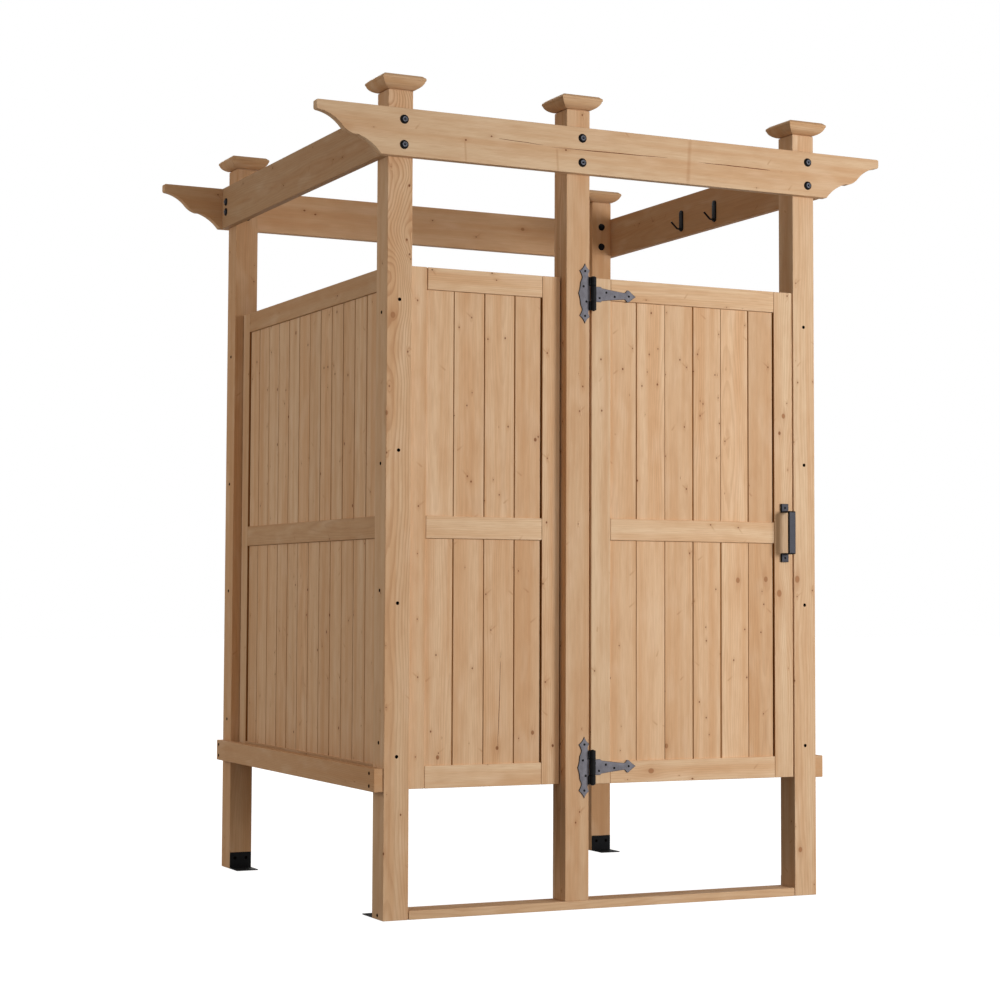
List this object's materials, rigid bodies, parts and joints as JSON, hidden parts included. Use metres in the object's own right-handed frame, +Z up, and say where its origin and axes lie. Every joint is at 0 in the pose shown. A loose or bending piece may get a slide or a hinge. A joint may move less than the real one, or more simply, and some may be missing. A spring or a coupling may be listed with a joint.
{
  "type": "outdoor shower enclosure",
  "caption": "Open-topped square timber shower enclosure on capped posts, with boarded panels and one boarded door on T-hinges.",
  "frame": {"origin": "on the ground, at the middle of the box around the whole enclosure", "axes": "+X to the right as one faces the door, +Y from the front to the back, +Z up"},
  "size_m": [1.97, 1.4836, 2.4655],
  "materials": {
    "frame_timber": "planed bare softwood",
    "boards": "planed bare softwood boards",
    "caps": "planed bare softwood",
    "hinge_iron": "dark grey powder coat, fine texture",
    "handle_iron": "satin black",
    "hook_iron": "satin black",
    "bracket_iron": "matt black"
  },
  "bodies": {
    "enclosure": {"post_front_left": "frame_timber", "post_hinge": "frame_timber", "post_front_right": "frame_timber", "post_back_left": "frame_timber", "post_back_right": "frame_timber", "cap_front_left": "caps", "cap_hinge": "caps", "cap_front_right": "caps", "cap_back_left": "caps", "cap_back_right": "caps", "front_beam": "frame_timber", "back_beam": "frame_timber", "left_beam": "frame_timber", "right_beam": "frame_timber", "left_lower_rail": "frame_timber", "right_lower_rail": "frame_timber", "bottom_plate": "frame_timber", "front_panel_stiles": "frame_timber", "front_panel_rails": "frame_timber", "front_panel_boards": "boards", "left_panel_stiles": "frame_timber", "left_panel_rails": "frame_timber", "left_panel_boards": "boards", "right_panel_stiles": "frame_timber", "right_panel_rails": "frame_timber", "right_panel_boards": "boards", "back_panel_stiles": "frame_timber", "back_panel_rails": "frame_timber", "back_panel_boards": "boards", "top_hinge_plate": "hinge_iron", "bottom_hinge_plate": "hinge_iron", "robe_hooks": "hook_iron", "bracket_front_left": "bracket_iron", "bracket_front_right": "bracket_iron", "bracket_back_left": "bracket_iron", "bracket_back_right": "bracket_iron"},
    "door": {"door_stiles": "frame_timber", "door_rails": "frame_timber", "door_boards": "boards", "top_hinge_strap": "hinge_iron", "bottom_hinge_strap": "hinge_iron", "door_handle": "handle_iron"}
  },
  "joints": [
    {"name": "door_swing", "type": "hinge", "parent": "enclosure", "child": "door", "pos_m": [-0.0655, -0.70275, 1.14], "axis": [0, 0, -1], "range_deg": [0, 175]}
  ]
}
